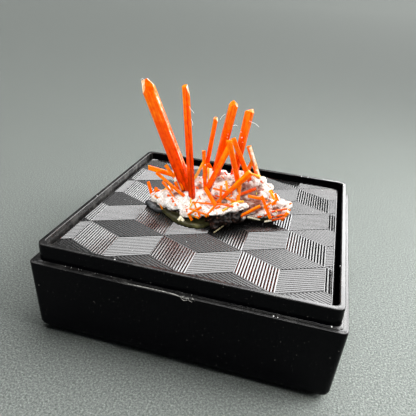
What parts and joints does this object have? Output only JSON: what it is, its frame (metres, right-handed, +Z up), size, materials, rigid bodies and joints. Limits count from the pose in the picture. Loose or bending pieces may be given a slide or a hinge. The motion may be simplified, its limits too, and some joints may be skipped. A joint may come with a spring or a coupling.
{
  "type": "mineral specimen",
  "caption": "Crocoite on matrix: long orange prisms fanning from a pale crusted rock, bedded in putty on the patterned insert of a small black open box base.",
  "frame": {"origin": "middle of the box base's underside", "axes": "+Z up through the specimen, -Y towards the side that the specimen is seen from"},
  "size_m": [0.0582, 0.0582, 0.0458],
  "materials": {
    "box_plastic": "glossy black moulded polystyrene",
    "insert_plastic": "glossy black plastic with a fine ribbed cube pattern",
    "putty": "soft olive mounting putty",
    "matrix_rock": "white to pinkish mineral crust on dark rock",
    "crocoite": "translucent orange crystal with an adamantine lustre"
  },
  "bodies": {
    "root": {"box_base": "box_plastic", "deck_insert": "insert_plastic", "mounting_putty": "putty", "matrix": "matrix_rock", "crystal_left_broad": "crocoite", "crystal_left_upright": "crocoite", "crystal_left_pointing": "crocoite", "crystal_left_small": "crocoite", "crystal_middle_slender": "crocoite", "crystal_middle_broad": "crocoite", "crystal_middle_front": "crocoite", "crystal_right_broad": "crocoite", "crystal_right_crossing": "crocoite", "crystal_right_front": "crocoite", "crystal_right_bright": "crocoite", "crystal_front_diagonal": "crocoite"}
  },
  "joints": []
}
